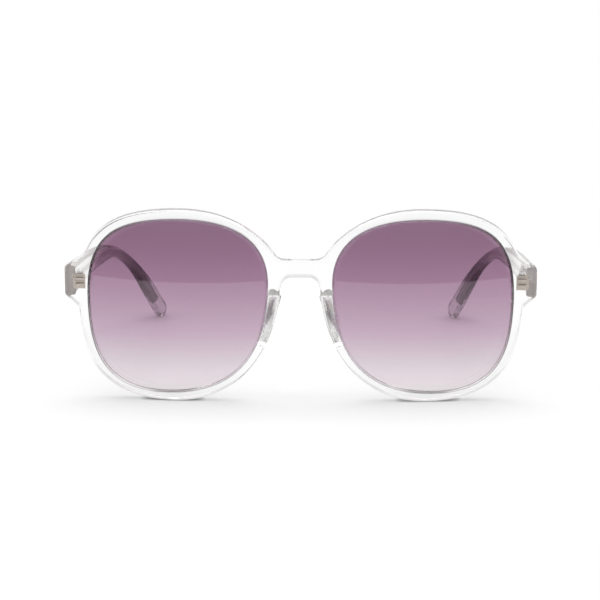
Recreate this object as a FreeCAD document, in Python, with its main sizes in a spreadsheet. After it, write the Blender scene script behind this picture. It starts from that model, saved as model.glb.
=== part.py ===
import FreeCAD, Part
import math
import os
import Sketcher

Vector = FreeCAD.Vector

# Oversized round sunglasses: a clear sheet-plastic front with two grooved-in tinted lenses, glued nose
# pads, and two clear temples with a wire core, each carried by a five-knuckle screw hinge.
# Frame: X to the wearer's left, Y from the bridge back towards the ears, Z up from the table.
# The pieces are built with Y zero on the bridge's front, and moved back together at the end.

# Driving sizes, millimetres and degrees
SIZES = {
    # Lenses: the box round the edge that sits in the groove, as wide as the front and its lugs leave
    "lens_height": 55.7,
    "lens_gap": 20.0,
    "lens_thickness": 2.0,
    "lens_radius": 90.0,
    "groove_depth": 0.45,
    # Front: rim widths outside the lens edge, sheet thickness and the bend round the face
    "rim_top": 2.9,
    "rim_bottom": 2.3,
    "rim_nose": 4.1,
    "rim_side": 3.2,
    "front_width": 148.0,
    "front_thickness": 4.6,
    "wrap_radius": 600.0,
    "front_edge_round": 0.8,
    # Bridge between the rims
    "bridge_underside": 39.8,
    "bridge_height": 5.5,
    "bridge_top_round": 4.0,
    "bridge_arch_round": 3.5,
    # Lugs that carry the hinges at the outer corners, reaching out from the lens edge
    "lug_reach": 7.2,
    "lug_top": 42.3,
    "lug_bottom": 33.4,
    "lug_top_slope": 34.0,
    "lug_bottom_slope": 42.0,
    "lug_shoulder_round": 8.0,
    "lug_foot_round": 2.5,
    "lug_corner_round": 1.3,
    # Nose pads on the back of the rims
    "pad_low": 17.0,
    "pad_high": 34.0,
    "pad_depth": 6.6,
    "pad_width": 4.0,
    "pad_splay": 10.0,
    "pad_top_tilt": 9.0,
    "pad_edge_round": 0.5,
    "glue_line": 0.05,
    # Temples
    "temple_top": 42.0,
    "temple_height": 9.4,
    "temple_thickness": 3.3,
    "temple_reach": 124.9,
    "temple_gap": 0.3,
    "temple_toe_in": 19.8,
    "temple_top_slope": 4.5,
    "temple_bottom_slope": 1.3,
    "temple_edge_round": 0.9,
    "hook_angle": 47.0,
    "outer_bend_radius": 90.0,
    "inner_bend_radius": 48.0,
    "tip_width": 5.6,
    "tip_thickness": 2.8,
    # Wire core inside each temple
    "core_height": 1.7,
    "core_thickness": 1.2,
    "core_start_gap": 0.6,
    "core_end_gap": 9.0,
    "core_clearance": 0.05,
    # Hinges
    "hinge_level": 37.2,
    "axis_setback": 1.6,
    "knuckle_radius": 1.25,
    "knuckle_height": 0.84,
    "knuckle_play": 0.06,
    "leaf_clearance": 0.15,
    "leaf_thickness": 0.8,
    "leaf_length": 8.0,
    "plate_width": 3.4,
    "plate_thickness": 0.8,
    "anchor_depth": 1.4,
    "anchor_width": 2.4,
    "anchor_height": 0.6,
    "pocket_clearance": 0.05,
    # Hinge screws
    "screw_radius": 0.7,
    "screw_clearance": 0.04,
    "screw_head_radius": 1.1,
    "screw_head_height": 0.6,
    "screw_slot_width": 0.35,
    "screw_slot_depth": 0.3,
    "screw_tail": 0.3,
    # How far every cutting shape runs past what it cuts
    "cut_overrun": 3.0,
}

# Where the extreme points of an eye shape lie along its box: top, outer side, bottom, nose side
LENS_PLACE_SHARES = (0.49, 0.564, 0.552, 0.636)
RIM_PLACE_SHARES = (0.494, 0.554, 0.518, 0.669)
# How far each curve handle reaches across its quarter, clockwise from the top, two handles a quarter
LENS_HANDLE_SHARES = (0.71, 0.745, 0.61, 0.815, 0.69, 0.62, 0.71, 0.575)
RIM_HANDLE_SHARES = (0.60, 0.80, 0.605, 0.78, 0.65, 0.535, 0.39, 0.60)
# How much of the temple's toe-in is reached one third and two thirds of the way back
BOW_SHARES = (0.0, 0.13)
# How far up a nose pad its fullest place lies
PAD_BELLY_SHARE = 0.8
# How far across the rim, from its nose edge, a nose pad is centred
PAD_ACROSS_SHARE = 0.36
# An edge counts as straight, or as lying in a plane, where two lengths differ by less than this share
EDGE_TOLERANCE_SHARE = 0.0001

doc = FreeCAD.newDocument("sunglasses")
sheet = doc.addObject("Spreadsheet::Sheet", "Sizes")
for row, (name, value) in enumerate(SIZES.items(), start=1):
    sheet.set(f"A{row}", name)
    sheet.set(f"B{row}", str(value))
    sheet.setAlias(f"B{row}", name)
doc.recompute()

# Sizes that follow from the driving ones
half_width = sheet.front_width / 2
eye_inner = sheet.lens_gap / 2
eye_outer = half_width - sheet.lug_reach
half_lens = (eye_outer - eye_inner) / 2
eye_low = sheet.rim_bottom
eye_high = eye_low + sheet.lens_height
front_high = eye_high + sheet.rim_top
back_radius = sheet.wrap_radius - sheet.front_thickness
middle_radius = sheet.wrap_radius - sheet.front_thickness / 2
axis_x = half_width - sheet.temple_thickness - sheet.leaf_clearance - sheet.knuckle_radius
stack_height = 5 * sheet.knuckle_height + 4 * sheet.knuckle_play
knuckle_pitch = sheet.knuckle_height + sheet.knuckle_play


def wrap_y(radius, x):
    """Y of the bent sheet's surface of this radius, above a place on the X axis."""
    return sheet.wrap_radius - math.sqrt(radius ** 2 - x ** 2)


axis_y = wrap_y(back_radius, axis_x) + sheet.axis_setback
temple_start = wrap_y(back_radius, half_width)

# Each lens is a spherical shell that faces square out of the bent front, with its edge in mid-rim
eye_x = (eye_inner + eye_outer) / 2
eye_turn = math.asin(eye_x / middle_radius)
eye_back = Vector(-math.sin(eye_turn), math.cos(eye_turn), 0)
lens_sag = sheet.lens_radius - math.sqrt(sheet.lens_radius ** 2 - half_lens ** 2)
rim_sag = wrap_y(sheet.wrap_radius, half_lens)
lens_bulge = lens_sag - rim_sag / 2
rim_centre = Vector(eye_x, wrap_y(middle_radius, eye_x), (eye_low + eye_high) / 2)
lens_centre = rim_centre + eye_back * (sheet.lens_radius - lens_bulge)
foremost_y = lens_centre.y - sheet.lens_radius - sheet.lens_thickness / 2
shift_y = -(foremost_y + sheet.temple_reach) / 2

FRONT_DEPTH = (
    "Sizes.wrap_radius - sqrt(Sizes.wrap_radius ^ 2 - Sizes.front_width ^ 2 / 4)"
    " + Sizes.front_thickness + 2 * Sizes.cut_overrun"
)
FRONT_HEIGHT = "Sizes.rim_bottom + Sizes.lens_height + Sizes.rim_top + 2 * Sizes.cut_overrun"


def line(start, end):
    return Part.LineSegment(start, end).toShape()


def curve(*poles):
    bezier = Part.BezierCurve()
    bezier.setPoles(list(poles))
    return bezier.toShape()


def feature(name, shape):
    item = doc.addObject("Part::Feature", name)
    item.Shape = shape
    return item


def prism(name, face, direction, length):
    """Solid swept straight from a face; length is an expression on the sheet."""
    item = doc.addObject("Part::Extrusion", name)
    item.Base = feature(name + "_face", face)
    item.DirMode = "Custom"
    item.Dir = direction
    item.Solid = True
    item.setExpression("LengthFwd", length)
    return item


def combine(kind, name, base, tool):
    """Cut, Common or Fuse of two document objects."""
    item = doc.addObject("Part::" + kind, name)
    item.Base = base
    item.Tool = tool
    item.Refine = True
    return item


def mirrored(name, source):
    """The same piece on the other side of the face."""
    item = doc.addObject("Part::Mirroring", name)
    item.Source = source
    item.Base = Vector(0, 0, 0)
    item.Normal = Vector(1, 0, 0)
    return item


def rounded(name, base, radius, wanted):
    """Round the edges for which wanted(edge) is true."""
    doc.recompute()
    item = doc.addObject("Part::Fillet", name)
    item.Base = base
    chosen = [number for number, edge in enumerate(base.Shape.Edges, start=1) if wanted(edge)]
    item.Edges = [(number, radius, radius) for number in chosen]
    return item


def wrap_cylinder(name, radius):
    """Upright cylinder about the axis that the front is bent round; radius is an expression."""
    item = doc.addObject("Part::Cylinder", name)
    item.setExpression("Radius", radius)
    item.setExpression("Height", FRONT_HEIGHT)
    item.setExpression("Placement.Base.y", "Sizes.wrap_radius")
    item.setExpression("Placement.Base.z", "-Sizes.cut_overrun")
    return item


def box(name, lengths, corner):
    """Box from three length expressions and its lowest corner."""
    item = doc.addObject("Part::Box", name)
    for property_name, expression in zip(("Length", "Width", "Height"), lengths):
        item.setExpression(property_name, expression)
    item.Placement.Base = corner
    return item


def along(edge, axis):
    """True for a straight edge that runs along this axis."""
    chord = edge.valueAt(edge.LastParameter) - edge.valueAt(edge.FirstParameter)
    return math.isclose(abs(chord.dot(axis)), edge.Length, rel_tol=EDGE_TOLERANCE_SHARE)


def eye_face(inner, outer, low, high, place_shares, handle_shares):
    """Closed eye shape of four smooth quarters through the extreme points of its box, facing along Y."""
    level = -sheet.cut_overrun
    width = outer - inner
    height = high - low
    top = Vector(inner + place_shares[0] * width, level, high)
    side = Vector(outer, level, low + place_shares[1] * height)
    bottom = Vector(inner + place_shares[2] * width, level, low)
    nose = Vector(inner, level, low + place_shares[3] * height)
    corners = (top, side, bottom, nose, top)
    edges = []
    for quarter in range(4):
        start = corners[quarter]
        end = corners[quarter + 1]
        across = Vector(end.x - start.x, 0, 0)
        upright = Vector(0, 0, end.z - start.z)
        leaving, arriving = (across, upright) if quarter % 2 == 0 else (upright, across)
        first = start + leaving * handle_shares[2 * quarter]
        second = end - arriving * handle_shares[2 * quarter + 1]
        edges.append(curve(start, first, second, end))
    return Part.Face(Part.Wire(edges))


def lens_face(growth):
    """The lens edge's shape, grown all round by an amount."""
    return eye_face(
        eye_inner - growth, eye_outer + growth, eye_low - growth, eye_high + growth,
        LENS_PLACE_SHARES, LENS_HANDLE_SHARES,
    )


def rim_face():
    """The outside of one rim."""
    return eye_face(
        eye_inner - sheet.rim_nose, eye_outer + sheet.rim_side, 0, front_high,
        RIM_PLACE_SHARES, RIM_HANDLE_SHARES,
    )


def polygon_face(points):
    return Part.Face(Part.makePolygon(points + points[:1]))


def lug_face():
    """Outer corner that carries the hinge: upright outside, sloping above and below into the rim."""
    level = -sheet.cut_overrun
    rise = sheet.lug_reach * math.tan(math.radians(sheet.lug_top_slope))
    fall = sheet.lug_reach * math.tan(math.radians(sheet.lug_bottom_slope))
    return polygon_face([
        Vector(half_width, level, sheet.lug_bottom),
        Vector(half_width, level, sheet.lug_top),
        Vector(eye_outer, level, sheet.lug_top + rise),
        Vector(eye_outer, level, sheet.lug_bottom - fall),
    ])


def front_outline():
    """Both rims, the bridge and the lugs as one block, square through, with its corners rounded."""
    rim = prism("rim_block", rim_face(), Vector(0, 1, 0), FRONT_DEPTH)
    lug = prism("lug_block", lug_face(), Vector(0, 1, 0), FRONT_DEPTH)
    bridge = box(
        "bridge_block",
        ("Sizes.lens_gap / 2", FRONT_DEPTH, "Sizes.bridge_height"),
        Vector(0, -sheet.cut_overrun, sheet.bridge_underside),
    )
    rim_and_lug = combine("Fuse", "rim_and_lug", rim, lug)
    half = combine("Fuse", "half_front_block", rim_and_lug, bridge)
    bridge_top = sheet.bridge_underside + sheet.bridge_height
    corner_rounds = (
        ("lug_shoulder", sheet.lug_shoulder_round,
         lambda x, z: half_width > x > eye_outer and z > sheet.lug_top),
        ("lug_foot", sheet.lug_foot_round,
         lambda x, z: half_width > x > eye_outer and z < sheet.lug_bottom),
        ("lug_corners", sheet.lug_corner_round,
         lambda x, z: math.isclose(x, half_width)),
        ("bridge_shoulder", sheet.bridge_top_round,
         lambda x, z: 0 < x < eye_inner and math.isclose(z, bridge_top)),
        ("bridge_arch", sheet.bridge_arch_round,
         lambda x, z: 0 < x < eye_inner and math.isclose(z, sheet.bridge_underside)),
    )
    for name, radius, place in corner_rounds:
        half = rounded(
            name, half, radius,
            lambda edge: along(edge, Vector(0, 1, 0)) and place(edge.CenterOfMass.x, edge.CenterOfMass.z),
        )
    return combine("Fuse", "front_block", half, mirrored("other_half_block", half))


def lens_shell(name, margin):
    """Spherical shell about one lens's centre, thicker than the lens by a margin on both faces."""
    shells = []
    for face_name, sign in (("_front", 1), ("_back", -1)):
        ball = doc.addObject("Part::Sphere", name + face_name)
        ball.setExpression("Radius", f"Sizes.lens_radius + {sign} * (Sizes.lens_thickness / 2 + {margin})")
        ball.Placement.Base = lens_centre
        shells.append(ball)
    return combine("Cut", name, *shells)


def build_lens():
    blank = prism("lens_blank", lens_face(0), Vector(0, 1, 0), FRONT_DEPTH)
    return combine("Common", "lens_solid", blank, lens_shell("lens_shell", "0"))


def both_sides(kind_name, tool, base):
    """Cut a tool and its mirror image out of a piece."""
    once = combine("Cut", kind_name + "_one_side", base, tool)
    return combine("Cut", kind_name + "_both_sides", once, mirrored(kind_name + "_mirror", tool))


def hinge_pocket():
    """Room for the front hinge's plate and its two anchors in the back of a lug."""
    clearance = sheet.pocket_clearance
    plate_front = axis_y - sheet.axis_setback - sheet.plate_thickness
    cut = box(
        "plate_pocket",
        (
            "Sizes.plate_width + 2 * Sizes.pocket_clearance",
            "Sizes.plate_thickness + Sizes.pocket_clearance + Sizes.cut_overrun",
            "5 * Sizes.knuckle_height + 4 * Sizes.knuckle_play + 2 * Sizes.pocket_clearance",
        ),
        Vector(
            axis_x - sheet.plate_width / 2 - clearance,
            plate_front - clearance,
            sheet.hinge_level - stack_height / 2 - clearance,
        ),
    )
    for name, level in (("upper", knuckle_pitch), ("lower", -knuckle_pitch)):
        anchor = box(
            name + "_anchor_pocket",
            (
                "Sizes.anchor_width + 2 * Sizes.pocket_clearance",
                "Sizes.anchor_depth + Sizes.plate_thickness",
                "Sizes.anchor_height + 2 * Sizes.pocket_clearance",
            ),
            Vector(
                axis_x - sheet.anchor_width / 2 - clearance,
                plate_front - sheet.anchor_depth - clearance,
                sheet.hinge_level + level - sheet.anchor_height / 2 - clearance,
            ),
        )
        cut = combine("Fuse", "hinge_pocket_" + name, cut, anchor)
    return cut


def build_front():
    """Bent sheet with the front's outline, eye openings, lens grooves and hinge pockets."""
    sheet_stock = combine(
        "Cut", "bent_sheet",
        wrap_cylinder("sheet_front", "Sizes.wrap_radius"),
        wrap_cylinder("sheet_back", "Sizes.wrap_radius - Sizes.front_thickness"),
    )
    plain = combine("Common", "front_plain", front_outline(), sheet_stock)
    softened = rounded(
        "front_softened", plain, sheet.front_edge_round,
        lambda edge: not along(edge, Vector(0, 1, 0)),
    )
    opening = prism("eye_opening", lens_face(-sheet.groove_depth), Vector(0, 1, 0), FRONT_DEPTH)
    opened = both_sides("eyes", opening, softened)
    groove_blank = prism("groove_blank", lens_face(sheet.pocket_clearance), Vector(0, 1, 0), FRONT_DEPTH)
    groove_shell = lens_shell("groove_shell", "Sizes.pocket_clearance")
    grooved = both_sides("grooves", combine("Common", "groove", groove_blank, groove_shell), opened)
    return both_sides("hinge_pockets", hinge_pocket(), grooved)


def reach_in(face, level):
    """Least X of an eye shape at a height."""
    ray = line(
        Vector(0, -sheet.cut_overrun, level),
        Vector(half_width, -sheet.cut_overrun, level),
    )
    return face.common(ray).BoundBox.XMin


def pad_line(level):
    """Where a pad's middle runs down the nose side of the rim."""
    rim_edge = reach_in(rim_face(), level)
    lip_edge = reach_in(lens_face(-sheet.groove_depth), level)
    return Vector(rim_edge + PAD_ACROSS_SHARE * (lip_edge - rim_edge), 0, level)


def build_pad():
    """Half egg that leans with the rim, seated on its back with a thin line of glue, cut off flat on top."""
    low = pad_line(sheet.pad_low)
    high = pad_line(sheet.pad_high)
    belly = low + (high - low) * PAD_BELLY_SHARE
    belly.y = wrap_y(back_radius, belly.x)
    lean = math.degrees(math.atan2(high.x - low.x, high.z - low.z))
    egg = doc.addObject("Part::Ellipsoid", "pad_egg")
    egg.Radius1 = (high - low).Length * PAD_BELLY_SHARE
    egg.setExpression("Radius2", "Sizes.pad_width / 2")
    egg.setExpression("Radius3", "Sizes.pad_depth")
    turn = FreeCAD.Rotation(Vector(0, 1, 0), lean) * FreeCAD.Rotation(Vector(0, 0, 1), -sheet.pad_splay)
    egg.Placement = FreeCAD.Placement(belly, turn)
    seat = wrap_cylinder("pad_seat", "Sizes.wrap_radius - Sizes.front_thickness - Sizes.glue_line")
    seated = combine("Common", "pad_seated", egg, seat)
    top_middle = Vector(belly.x, belly.y + sheet.pad_depth / 2, sheet.pad_high)
    tilt = FreeCAD.Rotation(Vector(1, 0, 0), sheet.pad_top_tilt)
    corner = Vector(-belly.x, -sheet.pad_depth - sheet.cut_overrun, 0)
    above = box(
        "pad_top_cut",
        ("Sizes.lens_gap", "2 * (Sizes.pad_depth + Sizes.cut_overrun)", "Sizes.pad_high"),
        top_middle + tilt.multVec(corner),
    )
    above.Placement.Rotation = tilt
    flat_topped = combine("Cut", "pad_flat_topped", seated, above)
    top_normal = tilt.multVec(Vector(0, 0, 1))
    return rounded(
        "pad_solid", flat_topped, sheet.pad_edge_round,
        lambda edge: math.isclose(
            edge.CenterOfMass.dot(top_normal), top_middle.dot(top_normal), rel_tol=EDGE_TOLERANCE_SHARE,
        ),
    )


def round_corner(before, corner, after, radius):
    """Tangent arc of a radius in the corner of two straight lines."""
    towards = (before - corner).normalize()
    away = (after - corner).normalize()
    half_angle = towards.getAngle(away) / 2
    setback = radius / math.tan(half_angle)
    bisector = (towards + away).normalize()
    middle = corner + bisector * (radius / math.sin(half_angle) - radius)
    return Part.Arc(corner + towards * setback, middle, corner + away * setback).toShape()


def meeting_point(start, slope, other, other_slope):
    """Where two falling lines in the YZ plane cross, each given by a point and a slope downwards."""
    y = (other.z - start.z + other_slope * other.y - slope * start.y) / (other_slope - slope)
    return Vector(0, y, start.z - slope * (y - start.y))


def temple_lines():
    """Straight lines of the temple's side view: front, bend corner and tip, above and below."""
    angle = math.radians(sheet.hook_angle)
    steep = math.tan(angle)
    tip_radius = sheet.tip_width / 2
    tip_centre = Vector(0, sheet.temple_reach - tip_radius, tip_radius)
    square = Vector(0, math.sin(angle), math.cos(angle)) * tip_radius
    lines = []
    for sign, front_level, slope_angle in (
        (1, sheet.temple_top, sheet.temple_top_slope),
        (-1, sheet.temple_top - sheet.temple_height, sheet.temple_bottom_slope),
    ):
        slope = math.tan(math.radians(slope_angle))
        start = Vector(0, temple_start, front_level)
        tip = tip_centre + square * sign
        corner = meeting_point(start, slope, tip, steep)
        lead = start + Vector(0, -sheet.cut_overrun, slope * sheet.cut_overrun)
        lines.append((lead, corner, tip))
    end = tip_centre + Vector(0, math.cos(angle), -math.sin(angle)) * tip_radius
    return lines[0], lines[1], end


def strip_face(upper, lower, upper_radius, lower_radius, end_edges):
    """Side view of a bent strip from its upper and lower lines, with the edges that close its far end."""
    upper_bend = round_corner(*upper, upper_radius)
    lower_bend = round_corner(*lower, lower_radius)
    upper_ends = [upper_bend.valueAt(upper_bend.FirstParameter), upper_bend.valueAt(upper_bend.LastParameter)]
    lower_ends = [lower_bend.valueAt(lower_bend.FirstParameter), lower_bend.valueAt(lower_bend.LastParameter)]
    edges = [
        line(upper[0], upper_ends[0]),
        upper_bend,
        line(upper_ends[1], upper[2]),
        *end_edges,
        line(lower[2], lower_ends[1]),
        lower_bend,
        line(lower_ends[0], lower[0]),
        line(lower[0], upper[0]),
    ]
    return Part.Face(Part.Wire(Part.__sortEdges__(edges)))


def plan_face(outer_start, inner_start, outer_end, inner_end):
    """View from above of a temple or its core: straight at the hinge, then bowing in towards the tip."""
    level = -sheet.cut_overrun
    length = sheet.temple_reach - temple_start
    sides = []
    for start, end in ((outer_start, outer_end), (inner_start, inner_end)):
        drift = start - end
        poles = [
            Vector(start, temple_start, level),
            Vector(start - BOW_SHARES[0] * drift, temple_start + length / 3, level),
            Vector(start - BOW_SHARES[1] * drift, temple_start + 2 * length / 3, level),
            Vector(end, sheet.temple_reach, level),
        ]
        lead = poles[0] - (poles[1] - poles[0]).normalize() * sheet.cut_overrun
        tail = poles[-1] + (poles[-1] - poles[-2]).normalize() * sheet.cut_overrun
        sides.append((lead, poles, tail))
    (outer_lead, outer, outer_tail), (inner_lead, inner, inner_tail) = sides
    edges = [
        line(outer_lead, outer[0]),
        curve(*outer),
        line(outer[-1], outer_tail),
        line(outer_tail, inner_tail),
        line(inner_tail, inner[-1]),
        curve(*reversed(inner)),
        line(inner[0], inner_lead),
        line(inner_lead, outer_lead),
    ]
    return Part.Face(Part.Wire(edges))


def bent_strip(name, side_face, top_face):
    """Solid that has one outline from the side and another from above."""
    side_face.translate(Vector(half_width - sheet.temple_toe_in - sheet.front_width / 4, 0, 0))
    side = prism(name + "_side", side_face, Vector(1, 0, 0), "Sizes.front_width")
    plan = prism(name + "_plan", top_face, Vector(0, 0, 1), FRONT_HEIGHT)
    return combine("Common", name + "_strip", side, plan)


def temple_blank():
    upper, lower, end = temple_lines()
    side = strip_face(
        upper, lower, sheet.outer_bend_radius, sheet.inner_bend_radius,
        [Part.Arc(upper[2], end, lower[2]).toShape()],
    )
    tip_outer = half_width - sheet.temple_toe_in
    plan = plan_face(
        half_width, half_width - sheet.temple_thickness, tip_outer, tip_outer - sheet.tip_thickness,
    )
    return bent_strip("temple", side, plan)


def core_strip(name, margin):
    """The wire core, or with a margin its channel, along the middle of the temple behind the leaf."""
    upper, lower, _ = temple_lines()
    leaf_end = axis_y + sheet.leaf_length - temple_start
    lead = sheet.cut_overrun + leaf_end + sheet.core_start_gap - margin
    core_lines = []
    for sign in (1, -1):
        middles = []
        for high, low in zip(upper, lower):
            across = (high - low).normalize()
            middles.append((high + low) / 2 + across * sign * (sheet.core_height / 2 + margin))
        corner, tip = middles[1:]
        up_hook = (corner - tip).normalize()
        tip = tip + up_hook * (sheet.core_end_gap - sheet.tip_width / 2 - margin)
        along_front = (corner - middles[0]).normalize()
        front = middles[0] + along_front * lead
        core_lines.append((front, corner, tip))
    middle_radius_of_bend = (sheet.outer_bend_radius + sheet.inner_bend_radius) / 2
    side = strip_face(
        core_lines[0], core_lines[1], middle_radius_of_bend, middle_radius_of_bend,
        [line(core_lines[0][2], core_lines[1][2])],
    )
    start = half_width - sheet.temple_thickness / 2
    end = half_width - sheet.temple_toe_in - sheet.tip_thickness / 2
    half = sheet.core_thickness / 2 + margin
    return bent_strip(name, side, plan_face(start + half, start - half, end + half, end - half))


def leaf_pocket():
    """Room for the temple hinge's leaf in the temple's inner face."""
    clearance = sheet.pocket_clearance
    inner_face = axis_x + sheet.knuckle_radius + sheet.leaf_clearance
    return box(
        "leaf_pocket",
        (
            "Sizes.leaf_thickness + Sizes.pocket_clearance + Sizes.cut_overrun",
            "Sizes.leaf_length + Sizes.pocket_clearance + Sizes.cut_overrun",
            "5 * Sizes.knuckle_height + 4 * Sizes.knuckle_play + 2 * Sizes.pocket_clearance",
        ),
        Vector(
            inner_face - sheet.cut_overrun,
            axis_y - sheet.cut_overrun,
            sheet.hinge_level - stack_height / 2 - clearance,
        ),
    )


def build_temple():
    strip = temple_blank()
    softened = rounded(
        "temple_softened", strip, sheet.temple_edge_round,
        lambda edge: not along(edge, Vector(1, 0, 0)) and not along(edge, Vector(0, 0, 1)),
    )
    stop = wrap_cylinder("temple_stop", "Sizes.wrap_radius - Sizes.front_thickness - Sizes.temple_gap")
    butted = combine("Common", "temple_butted", softened, stop)
    channelled = combine("Cut", "temple_channelled", butted, core_strip("channel", sheet.core_clearance))
    return combine("Cut", "temple_solid", channelled, leaf_pocket())


def body_with_frame(name):
    """Body whose local origin is the hinge axis at the middle of the knuckle stack."""
    body = doc.addObject("PartDesign::Body", name)
    body.Placement.Base = Vector(axis_x, axis_y, sheet.hinge_level)
    planes = {plane.Role: plane for plane in body.Origin.OriginFeatures}
    return body, planes


def sketch_on(body, plane, name):
    sketch = body.newObject("Sketcher::SketchObject", name)
    sketch.AttachmentSupport = [(plane, "")]
    sketch.MapMode = "FlatFace"
    return sketch


def bind(sketch, index, name, expression):
    sketch.renameConstraint(index, name)
    sketch.setExpression("Constraints." + name, expression)


def circle(sketch, radius, expression, name):
    """Circle about the sketch's origin, bound to the sheet."""
    index = sketch.addGeometry(Part.Circle(Vector(0, 0, 0), Vector(0, 0, 1), radius))
    sketch.addConstraint(Sketcher.Constraint("Coincident", index, 3, -1, 1))
    bind(sketch, sketch.addConstraint(Sketcher.Constraint("Radius", index, radius)), name, expression)


def rectangle(sketch, name, left, right, low, high):
    """Rectangle whose four sides are (value, expression) pairs, measured from the sketch's origin."""
    corners = [
        Vector(left[0], low[0], 0), Vector(right[0], low[0], 0),
        Vector(right[0], high[0], 0), Vector(left[0], high[0], 0),
    ]
    first = sketch.GeometryCount
    for number, corner in enumerate(corners):
        sketch.addGeometry(Part.LineSegment(corner, corners[(number + 1) % 4]))
    for number in range(4):
        following = first + (number + 1) % 4
        sketch.addConstraint(Sketcher.Constraint("Coincident", first + number, 2, following, 1))
        kind = "Horizontal" if number % 2 == 0 else "Vertical"
        sketch.addConstraint(Sketcher.Constraint(kind, first + number))
    opposite = first + 2
    for side, kind, edge, (value, expression) in (
        ("left", "DistanceX", first, left), ("low", "DistanceY", first, low),
        ("right", "DistanceX", opposite, right), ("high", "DistanceY", opposite, high),
    ):
        index = sketch.addConstraint(Sketcher.Constraint(kind, -1, 1, edge, 1, value))
        bind(sketch, index, name + "_" + side, expression)


STACK = "(5 * Sizes.knuckle_height + 4 * Sizes.knuckle_play)"
PITCH = "(Sizes.knuckle_height + Sizes.knuckle_play)"
SLOT_HALF = "(Sizes.knuckle_height / 2 + Sizes.knuckle_play)"
PLATE_BACK = "-Sizes.axis_setback"
PLATE_FRONT = "-(Sizes.axis_setback + Sizes.plate_thickness)"


def pad(body, sketch, name, length):
    """Thicken a sketch both ways from its plane."""
    item = body.newObject("PartDesign::Pad", name)
    item.Profile = sketch
    item.Midplane = True
    item.setExpression("Length", length)


def pocket(body, sketch, name, length):
    """Cut a sketch through the body, both ways from its plane; fails if it cuts nothing."""
    doc.recompute()
    before = body.Shape.Volume
    item = body.newObject("PartDesign::Pocket", name)
    item.Profile = sketch
    item.Midplane = True
    item.setExpression("Length", length)
    doc.recompute()
    if not body.Shape.Volume < before:
        raise ValueError(name + " cuts nothing")


def knuckle_barrel(body, planes, name, length):
    """Round barrel about the hinge axis."""
    sketch = sketch_on(body, planes["XY_Plane"], name + "_circle")
    circle(sketch, sheet.knuckle_radius, "Sizes.knuckle_radius", "barrel_radius")
    pad(body, sketch, name, length)


def screw_bore(body, planes, name):
    """Clear hole for the screw along the hinge axis."""
    sketch = sketch_on(body, planes["XY_Plane"], name + "_circle")
    radius = sheet.screw_radius + sheet.screw_clearance
    circle(sketch, radius, "Sizes.screw_radius + Sizes.screw_clearance", "bore_radius")
    pocket(body, sketch, name, STACK + " + 2 * Sizes.cut_overrun")


def build_front_hinge():
    """Three knuckles on a plate that is sunk into the lug, with two anchors in front of it."""
    body, planes = body_with_frame("front_hinge_body")
    radius = sheet.knuckle_radius
    setback = sheet.axis_setback
    plate_front = setback + sheet.plate_thickness
    knuckle_barrel(body, planes, "front_barrel", STACK)
    neck = sketch_on(body, planes["XY_Plane"], "front_neck_outline")
    rectangle(
        neck, "neck",
        (-radius, "-Sizes.knuckle_radius"), (radius, "Sizes.knuckle_radius"),
        (-plate_front, PLATE_FRONT), (0, "0"),
    )
    pad(body, neck, "front_neck", STACK)
    plate = sketch_on(body, planes["XY_Plane"], "front_plate_outline")
    half_plate = sheet.plate_width / 2
    rectangle(
        plate, "plate",
        (-half_plate, "-Sizes.plate_width / 2"), (half_plate, "Sizes.plate_width / 2"),
        (-plate_front, PLATE_FRONT), (-setback, PLATE_BACK),
    )
    pad(body, plate, "front_plate", STACK)
    slots = sketch_on(body, planes["YZ_Plane"], "front_slots_outline")
    slot_half = sheet.knuckle_height / 2 + sheet.knuckle_play
    reach = radius + sheet.leaf_clearance
    for name, sign in (("upper", 1), ("lower", -1)):
        level = sign * knuckle_pitch
        rectangle(
            slots, name,
            (-reach, "-(Sizes.knuckle_radius + Sizes.leaf_clearance)"),
            (reach, "Sizes.knuckle_radius + Sizes.leaf_clearance"),
            (level - slot_half, f"{sign} * {PITCH} - {SLOT_HALF}"),
            (level + slot_half, f"{sign} * {PITCH} + {SLOT_HALF}"),
        )
    pocket(body, slots, "front_slots", "2 * Sizes.plate_width")
    anchors = sketch_on(body, planes["YZ_Plane"], "anchors_outline")
    tip = plate_front + sheet.anchor_depth
    for name, sign in (("upper", 1), ("lower", -1)):
        level = sign * knuckle_pitch
        half_anchor = sheet.anchor_height / 2
        rectangle(
            anchors, name,
            (-tip, PLATE_FRONT + " - Sizes.anchor_depth"), (-setback, PLATE_BACK),
            (level - half_anchor, f"{sign} * {PITCH} - Sizes.anchor_height / 2"),
            (level + half_anchor, f"{sign} * {PITCH} + Sizes.anchor_height / 2"),
        )
    pad(body, anchors, "anchors", "Sizes.anchor_width")
    screw_bore(body, planes, "front_bore")
    return body


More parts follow.
